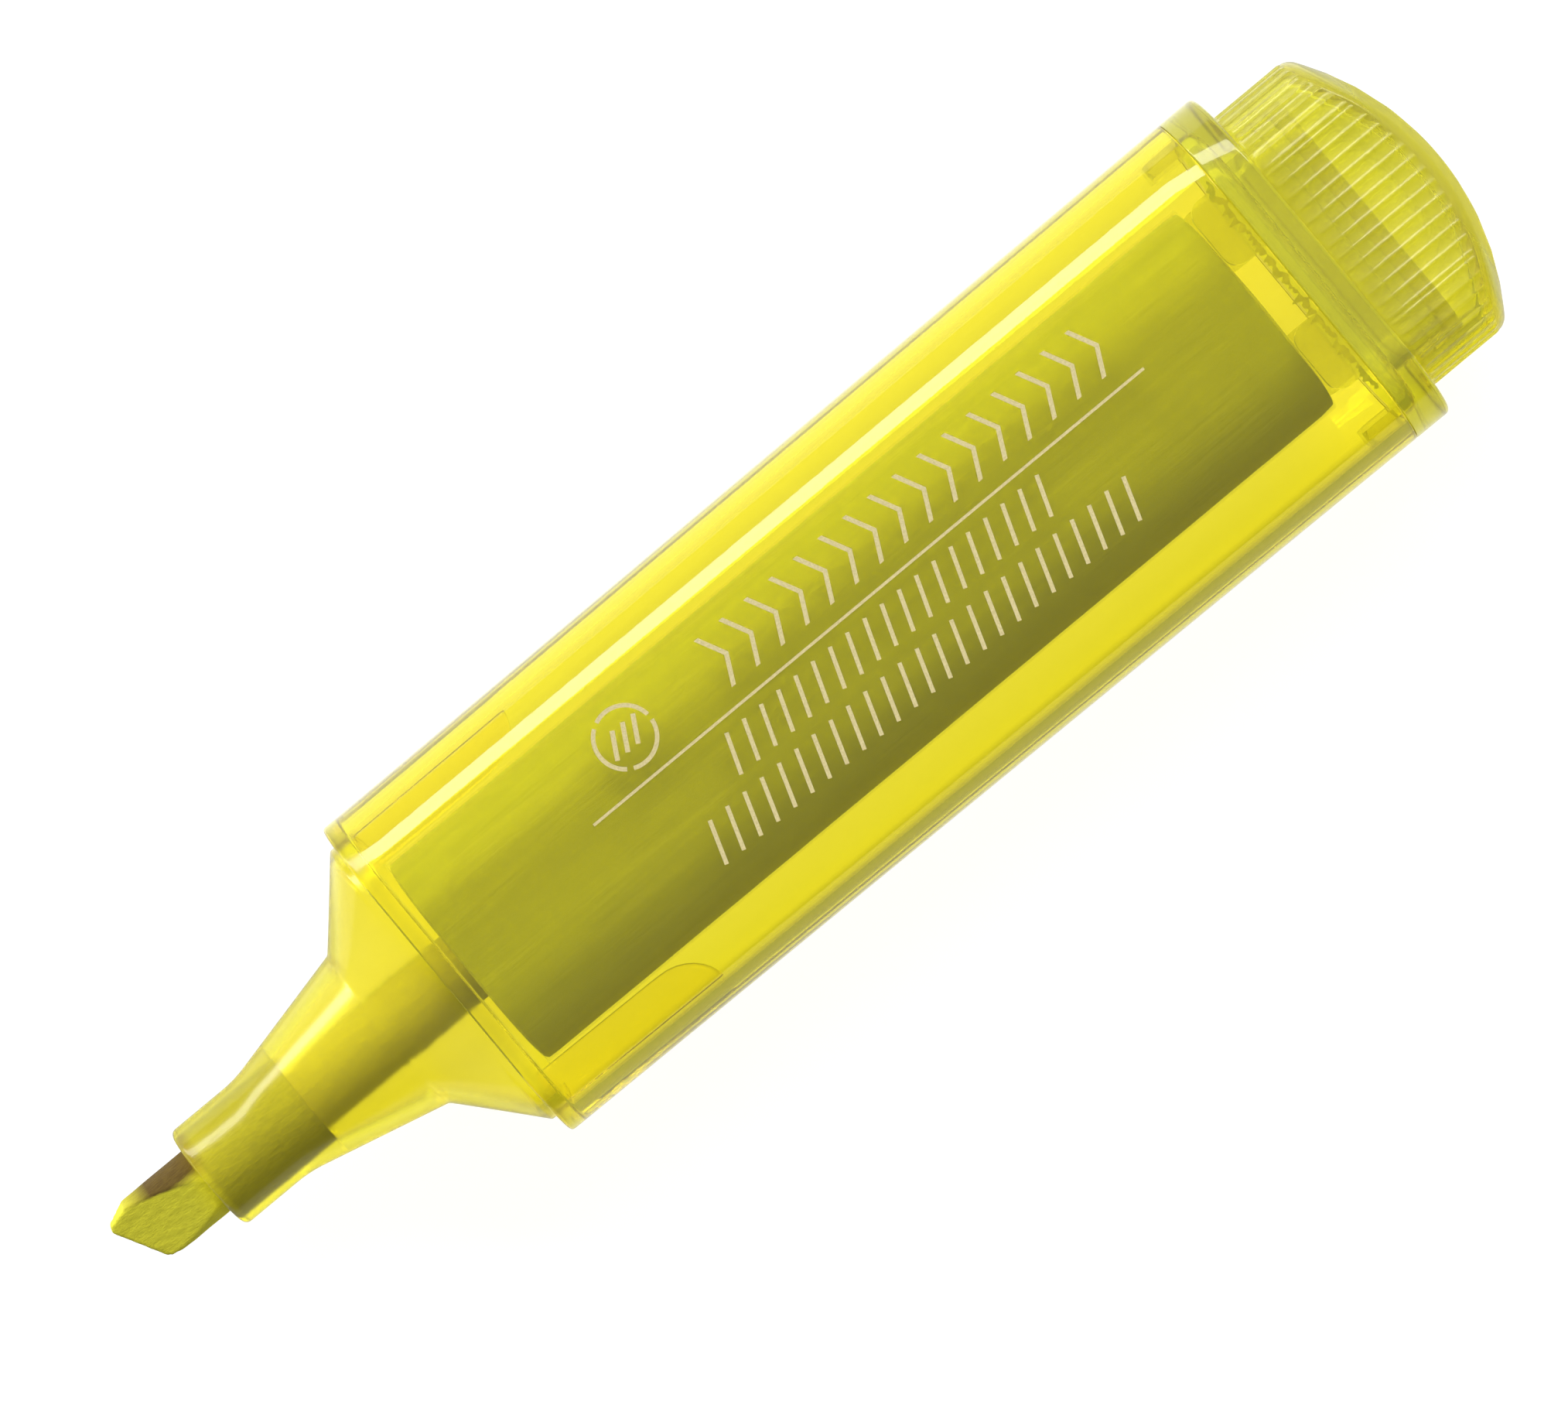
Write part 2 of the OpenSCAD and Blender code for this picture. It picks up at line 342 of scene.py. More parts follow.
class Nodes:
    """A node tree with short calls for adding and linking nodes."""

    def __init__(self, name):
        self.material = bpy.data.materials.new(name)
        self.material.use_nodes = True
        self.tree = self.material.node_tree
        self.shader = self.tree.nodes["Principled BSDF"]
        self.out = self.tree.nodes["Material Output"]

    def add(self, kind, inputs=(), **settings):
        node = self.tree.nodes.new("ShaderNode" + kind)
        for key, value in settings.items():
            setattr(node, key, value)
        for key, value in dict(inputs).items():
            self.feed(node.inputs[key], value)
        return node

    def feed(self, socket, value):
        if isinstance(value, bpy.types.NodeSocket):
            self.tree.links.new(value, socket)
        else:
            socket.default_value = value

    def set(self, **values):
        for key, value in values.items():
            self.feed(self.shader.inputs[key.replace("_", " ")], value)

    def place(self, stretch):
        """Object coordinates in millimetres, squeezed by stretch along each axis."""
        where = self.add("TexCoord").outputs["Object"]
        size = [s / MM for s in stretch]
        return self.add("Mapping", {"Vector": where, "Scale": size}).outputs["Vector"]

    def noise(self, stretch, detail=3.0, rough=0.55):
        where = self.place(stretch)
        made = self.add("TexNoise", {"Vector": where, "Scale": 1.0, "Detail": detail, "Roughness": rough})
        return made.outputs["Fac"]

    def ramp(self, value, stops):
        node = self.add("ValToRGB", {"Fac": value})
        line = node.color_ramp
        while len(line.elements) < len(stops):
            line.elements.new(0.5)
        for element, (at, colour) in zip(line.elements, stops):
            element.position, element.color = at, (*colour, 1)
        return node.outputs["Color"]

    def blend(self, factor, a, b):
        """Colour a where factor is 0 and b where it is 1."""
        node = self.add("Mix", {"Factor": factor}, data_type="RGBA")
        sockets = [k for k in node.inputs if k.name in ("A", "B") and k.type == "RGBA"]
        for socket, colour in zip(sockets, (a, b)):
            self.feed(socket, colour)
        return [k for k in node.outputs if k.type == "RGBA"][0]

    def span(self, value, low, high):
        """Value from 0 to 1 spread from low to high."""
        return self.add("MapRange", {"Value": value, "To Min": low, "To Max": high}).outputs["Result"]

    def rise(self, value, start, end, height=1.0):
        """Number that rises from 0, where value is start, to height, where it is end."""
        inputs = {"Value": value, "From Min": start, "From Max": end, "To Max": height}
        return self.add("MapRange", inputs).outputs["Result"]

    def math(self, operation, a, b):
        return self.add("Math", {0: a, 1: b}, operation=operation).outputs["Value"]

    def bump(self, height, depth, strength=1.0):
        node = self.add("Bump", {"Height": height, "Distance": depth * MM, "Strength": strength})
        self.set(Normal=node.outputs["Normal"])


# What the plastic's depth and its shadows look like, and its painted glow, which stands in for a faint
# fluorescence
ABSORB = 1500.0
CLEAR_YELLOW = (0.984, 0.981, 0.15, 1)
SHADOW_YELLOW = (0.97, 0.94, 0.5, 1)
GLOW_YELLOW = (0.9, 0.8, 0.02, 1)
GLOW = 0.02

# Noise sizes along X, Y and Z, as waves a millimetre
FLOW = (0.05, 0.3, 0.3)
HAZE = (0.4, 0.4, 0.4)
BLOTCH = (0.03, 0.9, 0.9)


def clear_plastic(name, tint, ior, frost=None, clear=0.98, coat=(0.06, 0.02), rough=(0.015, 0.035)):
    """Clear moulded plastic that takes the blue out of what passes through it. Lamps light its inside, and
    it has a faint painted glow.
    Its roughness rises by the last value of frost between the first two, which are places along the pen.
    The coat is a weight and a roughness."""
    n = Nodes(name)
    flow = n.noise(FLOW)
    haze = n.noise(HAZE, 5.0)
    roughness = n.span(haze, *rough)
    if frost:
        along = n.add("SeparateXYZ", {"Vector": n.place((1, 1, 1))}).outputs["X"]
        roughness = n.math("ADD", roughness, n.rise(along, *frost))
    n.set(IOR=ior, Transmission_Weight=clear, Base_Color=n.ramp(flow, tint), Roughness=roughness)
    # Painted glow: the plastic gives off a faint light of its own, standing in for its fluorescence
    n.set(Emission_Color=GLOW_YELLOW, Emission_Strength=GLOW)
    n.set(Coat_IOR=1.5, Coat_Weight=coat[0], Coat_Roughness=coat[1])
    n.bump(flow, 0.001, 0.5)
    through = n.add("BsdfTransparent", {"Color": SHADOW_YELLOW})
    ray = n.add("LightPath").outputs["Is Shadow Ray"]
    mix = n.add("MixShader", {0: ray, 1: n.shader.outputs[0], 2: through.outputs[0]})
    n.feed(n.out.inputs["Surface"], mix.outputs[0])
    inside = n.add("VolumeAbsorption", {"Color": CLEAR_YELLOW, "Density": ABSORB})
    n.feed(n.out.inputs["Volume"], inside.outputs[0])
    return n.material


def felt(name, stops, stretch, depth, rough):
    """Packed fibre soaked in ink, with its grain along the pen."""
    n = Nodes(name)
    grain = n.noise(stretch, 6.0, 0.7)
    blotch = n.noise(BLOTCH)
    both = n.add("Math", {0: grain, 1: blotch}, operation="MULTIPLY_ADD")
    n.feed(both.inputs[2], n.span(grain, 0.0, 0.5))
    n.set(Base_Color=n.ramp(both.outputs[0], stops), Roughness=rough, Sheen_Weight=0.3, IOR=1.33)
    n.bump(grain, depth)
    return n.material


# Where the felt goes from dry to soaked and shaded, with painted shade inside the sleeve, and where its
# darker brown
# band begins and is full: along the pen in front of the mouth, across it, and in depth
SOAK_AND_SHADE = (SLEEVE_X - 0.6, SLEEVE_X + 0.6)
DARK_BAND_BACK = (SLEEVE_X - 6.5, SLEEVE_X - 3.5)
DARK_BAND_FRONT = (SLEEVE_X + 1.0, SLEEVE_X)
DARK_BAND_SIDE = (0.2, 1.2)
DARK_BAND_SKIN = (NIB_R - 0.22, NIB_R - 0.08)
DARK_BAND_RAGGED = 0.4


def nib_felt(name):
    """Felt that is darker behind the sleeve's mouth, where it is soaked and has painted shade, and darker
    brown along its +Y side.
    """
    n = Nodes(name)
    grain = n.noise((1.5, 8, 8), 6.0, 0.7)
    dry = n.ramp(grain, [(0.25, (0.62, 0.58, 0.03)), (0.75, (0.82, 0.78, 0.05))])
    # Painted shade: the felt behind the sleeve's mouth is drawn darker for the shade of the plastic round
    # it, as well as for its ink
    soaked_and_shaded = n.ramp(grain, [(0.25, (0.21, 0.2, 0.01)), (0.75, (0.29, 0.28, 0.02))])
    # Darker brown felt in a band along the +Y side, just in front of the sleeve's mouth
    dark_brown = n.ramp(grain, [(0.3, (0.07, 0.04, 0.008)), (0.7, (0.13, 0.085, 0.016))])
    where = n.add("SeparateXYZ", {"Vector": n.place((1, 1, 1))}).outputs
    felt_soak_and_shade = n.blend(n.rise(where["X"], *SOAK_AND_SHADE), dry, soaked_and_shaded)
    from_axis = n.add("VectorMath", {0: n.place((0, 1, 1)), 1: (0, 0, MID_Z)}, operation="DISTANCE")
    side = n.math("ADD", where["Y"], n.span(grain, -DARK_BAND_RAGGED, DARK_BAND_RAGGED))
    dark_band = n.rise(from_axis.outputs["Value"], *DARK_BAND_SKIN)
    for value, reach in ((side, DARK_BAND_SIDE), (where["X"], DARK_BAND_BACK), (where["X"], DARK_BAND_FRONT)):
        dark_band = n.math("MULTIPLY", dark_band, n.rise(value, *reach))
    n.set(Base_Color=n.blend(dark_band, felt_soak_and_shade, dark_brown), Roughness=0.85, Sheen_Weight=0.08, IOR=1.2)
    n.bump(grain, 0.05)
    return n.material


def film(name):
    """Thin clear film with a faint stretch grain."""
    n = Nodes(name)
    grain = n.noise((0.1, 2.0, 2.0))
    n.set(Base_Color=n.ramp(grain, [(0.3, (0.22, 0.21, 0.01)), (0.7, (0.3, 0.29, 0.02))]))
    n.set(Roughness=n.span(grain, 0.2, 0.35), Alpha=0.08, IOR=1.4)
    n.bump(grain, 0.02)
    return n.material


def foil(name):
    """Matt hot-stamped foil with a fine grain."""
    n = Nodes(name)
    grain = n.noise((9.0, 9.0, 9.0), 4.0)
    n.set(Base_Color=n.ramp(grain, [(0.35, (0.62, 0.53, 0.25)), (0.65, (0.78, 0.68, 0.36))]))
    n.set(Metallic=0.2, Roughness=n.span(grain, 0.35, 0.55))
    n.bump(grain, 0.02)
    return n.material


# ---------------------------------------------------------------- barrel

def make_barrel():
    """Body, shoulder, cone and nib sleeve in one moulding, hollow from the seam to the mouth."""
    hole = COLLAR_W / 2 - NOSE_WALL
    shelf = FRONT_X + FRONT_WALL
    cone_in = SLEEVE_R + (CONE_R - SLEEVE_R) * (GRIP_X - CONE_X) / (SHOULDER_X - CONE_X) - NOSE_WALL
    outer = filleted([
        (SLEEVE_X, BORE_R, FINE_EDGE), (SLEEVE_X, SLEEVE_R, MOUTH_EDGE), (CONE_X, SLEEVE_R, CONE_SWEEP),
        (SHOULDER_X, CONE_R, SHOULDER_EDGE), (COLLAR_X, COLLAR_W / 2, COLLAR_EDGE),
        (FRONT_X, COLLAR_W / 2, 0), (FRONT_X, FRONT_W / 2, FRONT_EDGE),
        (SEAM_X, half_w(SEAM_X), FINE_EDGE), (SEAM_X, half_w(SEAM_X) - WALL, 0),
    ])
    inner = filleted([
        (SEAM_X, half_w(SEAM_X) - WALL, 0), (shelf, half_w(shelf) - WALL, INNER_EDGE), (shelf, hole, 0),
        (COLLAR_X, hole, INNER_EDGE), (SHOULDER_X, CONE_R - NOSE_WALL, INNER_SWEEP), (GRIP_X, cone_in, 0),
        (GRIP_X, BORE_R, 0), (SLEEVE_X, BORE_R, 0),
    ])[1:-1]
    rings = [(p.x, nose(p.x, p.y, 0)) for p in split(outer, RING_GAP)]
    rings += [(p.x, nose(p.x, p.y, NOSE_WALL)) for p in split(inner, RING_GAP)]
    made = skin("clear_barrel", rings, loop=True)
    for side in (1, -1):
        combine(made, make_rib(side), "UNION")
    return made


def make_rib(side):
    """Guide rib with a curved lead-in, standing on the inside of a narrow wall."""
    foot = half_w(FRONT_X) - WALL / 2
    front = FRONT_X + FRONT_WALL / 2
    lead = RIB_END - RIB_LEAD
    wall_y = half_w(RIB_END) - WALL
    rise, crest, steps = 0.12, 0.15, 8
    sweep = wall_y - RIB_TOP - crest
    curve = [(front, RIB_TOP), (lead - 1, RIB_TOP + rise)]
    for i in range(steps + 1):
        a = math.pi / 2 * i / steps
        curve.append((lead + RIB_LEAD * math.sin(a), wall_y - sweep * math.cos(a)))
    outline = [(front, foot), *curve, (RIB_END, half_w(RIB_END) - WALL / 2)]
    rib = prism("rib", [(x, y * side) for x, y in outline], MID_Z - RIB_T / 2, MID_Z + RIB_T / 2)
    edges = rib.modifiers.new("round", "BEVEL")
    edges.width, edges.segments, edges.angle_limit = RIB_ROUND * RIB_T * MM, 3, math.radians(60)
    apply(rib)
    return rib


# ---------------------------------------------------------------- rear closure and knob

def finger_bars():
    """Rounded bars that mark where the closure's skirt reaches forward as fingers."""
    x0, x1 = FINGER_X, RIM_X - END_WALL + SINK
    bars = []
    for y in (-FINGER_Y, FINGER_Y):
        bars.append(prism("bar", tab(x0, x1, y), -1, BODY_T + 1))
    side = prism("bar", tab(x0, x1, 0), -REAR_W, REAR_W)
    side.data.transform(Matrix.Translation((0, 0, MID_Z * MM)) @ Matrix.Rotation(math.pi / 2, 4, "X"))
    bars.append(side)
    return bars


def tab(x0, x1, y):
    """Outline of a finger whose free end at x0 has round corners."""
    w, r = FINGER_W, FINGER_R
    points = [(x1, y + w / 2)]
    for sign, first, last in ((1, 90, 180), (-1, 180, 270)):
        for i in range(7):
            a = math.radians(first + (last - first) * i / 6)
            points.append((x0 + r + r * math.cos(a), y + sign * (w / 2 - r) + r * math.sin(a)))
    points.append((x1, y - w / 2))
    return points


def make_closure():
    """Rim, end wall and closed hollow boss, with the fingers joined on in front."""
    inner_x = RIM_X - END_WALL
    seam = SEAM_X + SEAM_GAP
    skirt = FINGER_INSET + FINGER_T
    hollow = BOSS_INSET + BOSS_WALL
    end_x = BOSS_X - BOSS_WALL

    # Each flat face has one more ring this far inside its edge
    floor_face, wall_face, rear_face, boss_face = 1.6, 1.4, 2.6, 2.5
    rings = [(x, collar(h)) for x, h in ((end_x, hollow + floor_face), (end_x, hollow), (inner_x, hollow))]
    rim = filleted([
        (inner_x, skirt + wall_face, 0), (inner_x, skirt, SKIRT_EDGE), (seam, skirt, 0),
        (seam, 0, FINE_EDGE), (RIM_X, 0, RIM_EDGE), (RIM_X, rear_face, 0),
    ])
    rings += [(p.x, body(p.x, p.y)) for p in rim]
    groove = RIM_X + (BOSS_X - RIM_X) / 3
    bottom = BOSS_INSET + GROOVE_DEPTH
    boss = filleted([
        (RIM_X, BOSS_INSET, 0), (groove, BOSS_INSET, 0), (groove + GROOVE_SLOPE, bottom, 0),
        (groove + GROOVE_W - GROOVE_SLOPE, bottom, 0), (groove + GROOVE_W, BOSS_INSET, 0),
        (BOSS_X, BOSS_INSET, BOSS_EDGE), (BOSS_X, BOSS_INSET + boss_face, 0),
    ])
    rings += [(p.x, collar(p.y)) for p in boss]
    made = skin("clear_closure", rings)
    combine(made, make_fingers(inner_x + SINK), "UNION")
    return made


def make_fingers(end):
    """The six fingers: strips of the closure's skirt that reach forward into the barrel."""
    inner = FINGER_INSET + FINGER_T
    ends = [(FINGER_X, FINGER_INSET), (end, FINGER_INSET), (end, inner), (FINGER_X, inner)]
    skirt = skin("fingers", [(x, body(x, h)) for x, h in ends], loop=True)
    first, *others = finger_bars()
    for other in others:
        combine(first, other, "UNION")
    combine(skirt, first, "INTERSECT")
    return skirt


class Ridges:
    """A walk round the collar's outline that stops at each grip ridge, given as (distance, height) stops."""

    corner = COLLAR_R * math.pi / 2
    flats = [COLLAR_W - 2 * COLLAR_R, COLLAR_T - 2 * COLLAR_R] * 2
    turns = round(COLLAR_R * math.pi / 2 / RIDGE_PITCH)
    profile = ((-1, 0), (-0.6, 0.8), (0, 1), (0.6, 0.8), (1, 0))

    def __init__(self):
        at, tops = 0.0, []
        for flat in self.flats:
            tops += [at + self.corner * i / self.turns for i in range(self.turns + 1)]
            at += self.corner
            n = math.floor(flat / 2 / RIDGE_PITCH)
            tops += [at + flat / 2 + i * RIDGE_PITCH for i in range(-n, n + 1)]
            at += flat
        self.round = at
        self.stops = []
        for top, following in zip(tops, tops[1:] + [at]):
            self.stops += [(top + RIDGE_R * across, RIDGE_H * up) for across, up in self.profile]
            self.stops.append(((top + following) / 2, 0))

    def at(self, distance, inset):
        """Point and outward direction at a distance along the walk."""
        distance %= self.round
        middles = [(1, 1), (-1, 1), (-1, -1), (1, -1)]
        for k, flat in enumerate(self.flats):
            middle = Vector(middles[k]) * 0.5
            middle = Vector((middle.x * self.flats[0], middle.y * self.flats[1]))
            bend = min(distance, self.corner)
            a = math.pi / 2 * (k + bend / self.corner)
            out = Vector((math.cos(a), math.sin(a)))
            if distance <= self.corner + flat:
                along = Vector((-out.y, out.x)) * max(distance - self.corner, 0)
                return middle + out * (COLLAR_R - inset) + along, out
            distance -= self.corner + flat

    def outline(self, inset=0.0, height=0.0):
        """Outline drawn in by inset, with ridges of the given share of their height."""
        points = []
        for distance, bump in self.stops:
            point, out = self.at(distance, inset + RIDGE_R)
            points.append(point + out * (RIDGE_R * bump * height))
        return np.array(points)


def dome(outline, inset=0.0):
    """Place along the pen where each point of an outline meets the domed end."""
    r = DOME_R - inset
    return TAIL_X - DOME_R + np.sqrt(r * r - (outline ** 2).sum(1))


def make_knob():
    """Hollow knob: its bore, the open rim, the ridged sides and the plain dome."""
    ridges = Ridges()
    plain = ridges.outline()
    full = ridges.outline(0, 1)
    bore_in = KNOB_WALL - RIDGE_R
    bore = ridges.outline(bore_in)
    shares = (0.08, 0.25, 0.45, 0.65, 0.83, 0.96)
    rings = [(dome(bore * f, KNOB_WALL), bore * f) for f in shares]
    for k in range(4):
        t = math.pi / 6 * (3 - k)
        inner = ridges.outline(bore_in + KNOB_INNER_EDGE * (1 - math.cos(t)))
        rings.append((dome(inner, KNOB_WALL) - KNOB_INNER_EDGE * (1 - math.sin(t)), inner))
    inner_bevel, outer_bevel = 0.05, 0.08
    rings += [(KNOB_X + inner_bevel, bore), (KNOB_X, ridges.outline(bore_in - inner_bevel))]
    rings += [(KNOB_X, ridges.outline(outer_bevel)), (KNOB_X + outer_bevel, plain)]

    # The ridges rise between these two places, and fall again just before the dome
    start, risen = KNOB_X + 0.35, KNOB_X + 0.45
    end = dome(plain)
    rings += [(start, plain), (risen, full)]
    rings += [(risen + (end - 1.0 - KNOB_X) * f, full) for f in (0.33, 0.66)]
    rings += [(end - 0.75, full), (end - 0.6, ridges.outline(0, 0.5)), (end - 0.52, plain)]

    for k in range(7):
        t = math.pi / 12 * k
        outer = ridges.outline(KNOB_EDGE * (1 - math.cos(t)))
        rings.append((dome(outer) - KNOB_EDGE * (1 - math.sin(t)), outer))
    base = ridges.outline(KNOB_EDGE)
    rings += [(dome(base * f), base * f) for f in shares[::-1]]
    return skin("clear_knob", rings, smooth=60)


# ---------------------------------------------------------------- nib and reservoir

def make_nib():
    """Felt rod, ground on two sides to a slanted writing edge with a rounded leading corner."""
    tip, end, r = nib_lo[0], nib_hi[0], NIB_R
    rod = skin("nib_felt", [(tip - 1, circle(r)), (end - NIB_POINT, circle(r)), (end, circle(r / 2))])

    # Seen from above: the +Y side, the leading corner, the slanted edge and the -Y side
    lead = [
        (tip + LEAD_R - LEAD_R * math.sin(a), LEAD_SHARE * r - 0.12 + 0.5 * math.cos(a))
        for a in (0, 0.5, 1.0, 1.5, 1.9)
    ]
    upper = [(end + 1, r + 1), (tip + 3.2, r + 1), (tip + 2.1, r), (tip + 1.1, 0.86 * r)]
    lower = [
        (tip + 1.85, -0.8 * r), (tip + 2.15, -0.86 * r), (tip + 5.0, -r), (tip + 6.5, -r - 1),
        (end + 1, -r - 1),
    ]
    combine(rod, prism("cut", upper + lead + lower, MID_Z - 2 * r, MID_Z + 2 * r), "INTERSECT")

    # Seen from the side: two facets that meet the writing edge
    reach = (r - EDGE_HALF) / math.tan(math.radians(FACET_ANGLE))
    side = [
        (tip - 2, EDGE_HALF), (tip, EDGE_HALF), (tip + reach, r), (tip + reach + 1, r + 1),
        (end + 1, r + 1),
    ]
    wedge = prism("cut", side + [(x, -z) for x, z in side[::-1]], -2 * r, 2 * r)
    wedge.data.transform(Matrix.Translation((0, 0, MID_Z * MM)) @ Matrix.Rotation(math.pi / 2, 4, "X"))
    combine(rod, wedge, "INTERSECT")

    remesh = rod.modifiers.new("even", "REMESH")
    remesh.mode, remesh.voxel_size = "VOXEL", NIB_VOXEL * MM
    soften = rod.modifiers.new("soften", "SMOOTH")
    soften.factor, soften.iterations = 0.5, 4
    apply(rod)
    roughen(rod, depth=0.025, across=2.5)
    turned(rod.data, NIB_TURN)
    rod.data.shade_smooth()
    return rod


def roughen(obj, depth, across, along=0.7):
    """Moves a mesh's points along their normals by noise of a depth in millimetres.
    The noise has the given sizes across and along the pen, as waves a millimetre."""
    mesh = obj.data
    moved = []
    for v in mesh.vertices:
        where = v.co / MM
        push = noise.noise(Vector((where.x * along, where.y * across, where.z * across)))
        moved.append(v.co + v.normal * (push * depth * MM))
    mesh.vertices.foreach_set("co", np.array(moved, np.float32).ravel())
    mesh.update()


def make_core():
    """Fibre bundle with a pocket for the nib, slightly bulged at its free rear end."""
    w, t = core_hi[1] - core_lo[1], core_hi[2] - core_lo[2]
    front, rear = core_lo[0], core_hi[0]
    pocket, pocket_r = nib_hi[0] + POCKET_PLAY, NIB_R + POCKET_PLAY

    def outline(inset):
        return rounded(w - 2 * inset, t - 2 * inset, CORE_R - inset)

    rings = [(pocket, circle(NIB_R / 2)), (pocket - NIB_POINT, circle(pocket_r)), (front, circle(pocket_r))]

    # The front edge is rounded off over two rings
    rings += [(front, outline(0.2)), (front + 0.15, outline(0.04))]
    whole = outline(0)
    count = 60
    for k in range(1, count):
        x = front + (rear - front) * k / count
        wobble = [CORE_WOBBLE * noise.noise(Vector((x * 0.15, y * 0.3, z * 0.3))) for y, z in whole]
        rings.append((x, whole * (1 - np.abs(wobble)[:, None] / t)))
    for f in (0.985, 0.93, 0.8, 0.6, 0.4, 0.2):
        ring = whole * f
        y, z = ring[:, 0] / (w / 2), ring[:, 1] / (t / 2)
        bulge = CORE_BULGE * (1 - y ** 2) * (1 - z ** 2)
        rings.append((rear + bulge - 0.05 * (f > 0.98), ring))
    return skin("fibre_core", rings)


def make_wrap():
    """Thin film tube round the fibre bundle, open at both ends."""
    w, t = wrap_hi[1] - wrap_lo[1], wrap_hi[2] - wrap_lo[2]
    front, rear = wrap_lo[0], wrap_hi[0]
    outer = rounded(w, t, WRAP_R)
    inner = rounded(w - 2 * WRAP_T, t - 2 * WRAP_T, WRAP_R - WRAP_T)
    rings = [(front, inner), (front, outer), (rear, outer), (rear, inner)]
    return skin("film_wrap", rings, loop=True)


def ragged(y, *waves):
    """Sum of noise at y. Each noise has its size in millimetres, its waves a millimetre and its offset."""
    return sum(size * noise.noise(Vector((0, y * often, offset))) for size, often, offset in waves)


def make_smear():
    """Film of ink that has crept along the seam, under the broad wall, with a ragged front edge."""
    rear, top = SEAM_X - 0.02, BODY_T - WALL - 0.01
    verts, rows, taper = [], 240, 6
    gap, mean, least, thick = 0.25, 0.4, 0.04, 0.12
    for k in range(rows + 1):
        y = SMEAR_Y[0] + (SMEAR_Y[1] - SMEAR_Y[0]) * k / rows
        wide = mean + ragged(y, (0.6, 0.9, 3), (0.6, 3.3, 7))
        wide = max(wide, least) * min(1, (k + 1) / taper, (rows + 1 - k) / taper)
        x = rear + ragged(y, (0.3, 1.4, 11), (0.12, 5, 5))
        verts += [(x - gap, y, top), (x - gap - wide, y, top), (x - 0.2 - wide / 2, y, top - thick)]
    faces = [(0, 1, 2), (3 * rows, 3 * rows + 2, 3 * rows + 1)]
    for k in range(rows):
        a, b = 3 * k, 3 * k + 3
        faces += [(a + i, a + (i + 1) % 3, b + (i + 1) % 3, b + i) for i in range(3)]
    return piece("ink_smear", verts, faces, 60)


# ---------------------------------------------------------------- print

# The foil's thickness, its height above the face, and the middle of the ring
FOIL_T = 0.02
FOIL_Z = BODY_T + 0.005
RING = (-9.6, 4.9)


def strokes(name, outlines):
    """One thin object from many flat outlines, lying on the upper broad face."""
    verts, faces = [], []
    for outline in outlines:
        n, k = len(outline), len(verts)
        verts += [(x, y, z) for z in (FOIL_Z, FOIL_Z + FOIL_T) for x, y in outline]
        faces += [tuple(range(k, k + n))[::-1], tuple(range(k + n, k + 2 * n))]
        faces += [(k + i, k + (i + 1) % n, k + n + (i + 1) % n, k + n + i) for i in range(n)]
    return piece(name, verts, faces)


def bar(x0, y0, x1, y1, w):
    """Outline of a straight stroke of width w."""
    along = Vector((x1 - x0, y1 - y0)).normalized() * (w / 2)
    across = Vector((-along.y, along.x))
    a, b = Vector((x0, y0)), Vector((x1, y1))
    return [tuple(a + across), tuple(a - across), tuple(b - across), tuple(b + across)]


def arc(x, y, r, w, first, last):
    """Outline of a curved stroke of width w on a circle of radius r, between two angles in degrees."""
    angles = [math.radians(first + (last - first) * i / 14) for i in range(15)]
    outer, inner = r + w / 2, r - w / 2
    points = [(x + outer * math.cos(a), y + outer * math.sin(a)) for a in angles]
    return points + [(x + inner * math.cos(a), y + inner * math.sin(a)) for a in angles[::-1]]


def chevron(x, y, w, size):
    """Outline of a bent stroke that points along the pen, from its upper end to its lower one."""
    ends = [(x, y - size), (x + size / 2, y), (x, y + size)]
    return [(px + w / 2, py) for px, py in ends] + [(px - w / 2, py) for px, py in ends[::-1]]


def hatching(x0, y0, y1, count):
    """Outlines of a row of slanted strokes, from y0 to y1 across the pen."""
    pitch, slant, w = 1.5, 1.0, 0.3
    return [bar(x0 + pitch * k, y0, x0 + pitch * k + slant, y1, w) for k in range(count)]


def make_print():
    """Plain ornament: a rule, a broken ring with three strokes, chevrons and two rows of hatching."""
    x, y = RING
    marks = [bar(-15, 1.7, 32.9, 1.7, 0.2)]
    marks += [arc(x, y, 2.15, 0.3, first, first + 108) for first in (6, 126, 246)]
    marks += [bar(x + 0.9 * k - 0.5, y - 0.9, x + 0.9 * k + 0.5, y + 0.9, 0.33) for k in (-1, 0, 1)]
    marks += [chevron(-1.8 + 2.15 * k, y, 0.36, 2.0) for k in range(16)]
    marks += hatching(-5.2, -2.0, 0.8, 19)
    marks += hatching(-9.8, -6.0, -3.0, 25)
    return strokes("foil_print", marks)


# ---------------------------------------------------------------- stage

# Brightness of the floor at places across the pen, as seen through the clear plastic and in its reflections.
# The places are within FLOOR_HALF of the pen's axis, and the outermost brightness goes on beyond them.
FLOOR_HALF = 20
FLOOR_THROUGH = ((-17, 0.25), (-13.5, 0.93), (-9.5, 0.94), (-5, 0.74), (4, 0.84), (11.5, 0.74), (17, 0.92))
FLOOR_MIRRORED = ((-17, 0.8), (-13, 0.38), (13, 0.42), (16, 1.25))
FLOOR_SEEN = 0.94
FLOOR_GAP = 0.02
FLOOR_SIZE = 3000


